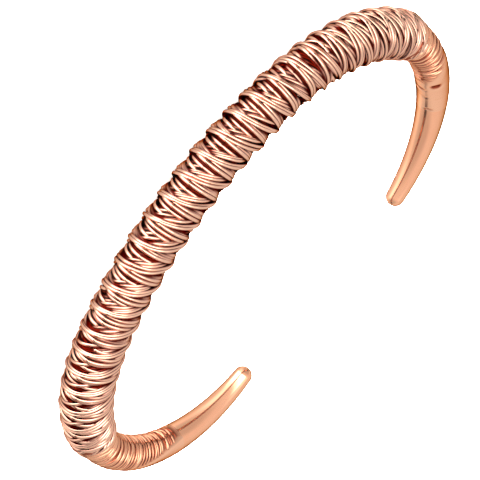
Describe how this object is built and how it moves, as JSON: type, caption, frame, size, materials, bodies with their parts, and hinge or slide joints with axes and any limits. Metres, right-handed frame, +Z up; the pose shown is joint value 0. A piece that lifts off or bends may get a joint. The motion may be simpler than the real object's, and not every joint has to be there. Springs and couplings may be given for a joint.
{
  "type": "wire-wound copper cuff bangle",
  "caption": "Open cuff bangle: a tapered round bar bent to a C, wound crosswise with fine copper wire between two bare domed tips.",
  "frame": {"origin": "centre of the bounding box on the floor that the cuff lies on", "axes": "+X across the wrist hollow from the left arm to the right, +Y out through the mouth between the tips, +Z up, across the width of the bar"},
  "size_m": [0.0704, 0.049, 0.0071],
  "materials": {
    "polished_copper": "polished",
    "copper_wire": "drawn and polished",
    "fine_copper_wire": "drawn, pressed flat and polished"
  },
  "bodies": {
    "root": {"cuff_bar": "polished_copper", "inner_band": "copper_wire", "outer_band": "copper_wire", "left_end_wrap": "fine_copper_wire", "right_end_wrap": "fine_copper_wire"}
  },
  "joints": []
}
